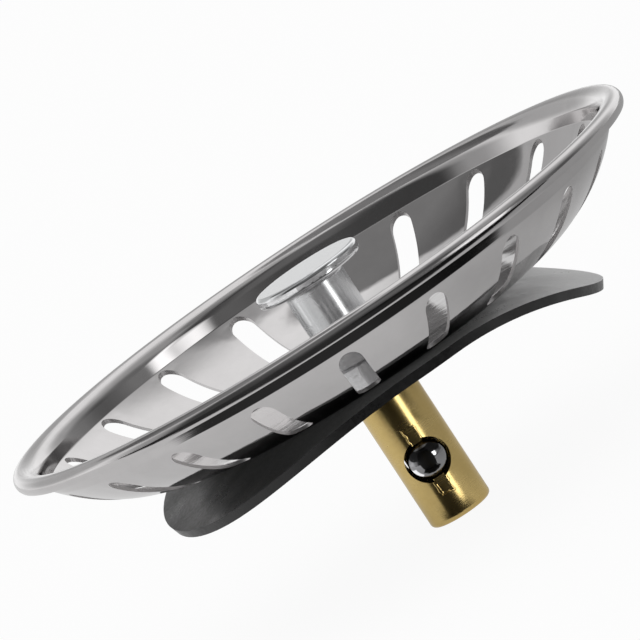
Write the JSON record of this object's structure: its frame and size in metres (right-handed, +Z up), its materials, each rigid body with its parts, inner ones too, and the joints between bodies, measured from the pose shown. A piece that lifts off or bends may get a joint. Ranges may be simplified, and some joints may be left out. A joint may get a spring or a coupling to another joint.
{
  "type": "basket strainer plug",
  "caption": "Sink basket strainer plug: slotted bowl with a curled rim, mushroom lift knob, sagging rubber seal disc and a stem with a sprung ball catch.",
  "frame": {"origin": "centre of the stem's flat end face", "axes": "+Z up the stem's axis to the knob, the ball looks along -Y"},
  "size_m": [0.0824, 0.0824, 0.0334],
  "materials": {
    "stainless": "mirror polished stainless sheet",
    "aluminium": "turned and polished",
    "rubber": "smooth moulded, slightly dusty",
    "washer_steel": "plain",
    "brass": "turned satin",
    "ball_steel": "polished ball",
    "spring_steel": "drawn wire"
  },
  "bodies": {
    "strainer": {"strainer_basket": "stainless", "lift_knob": "aluminium", "rubber_seal": "rubber", "seal_washer": "washer_steel", "catch_stem": "brass", "catch_spring": "spring_steel"},
    "ball": {"catch_ball": "ball_steel"}
  },
  "joints": [
    {"name": "ball_press", "type": "slide", "parent": "strainer", "child": "ball", "axis": [0, 1, 0], "range_m": [0, 0.001], "stiffness_N_per_m": 2000, "springref_m": -0.003, "deforming": ["catch_spring"]}
  ]
}
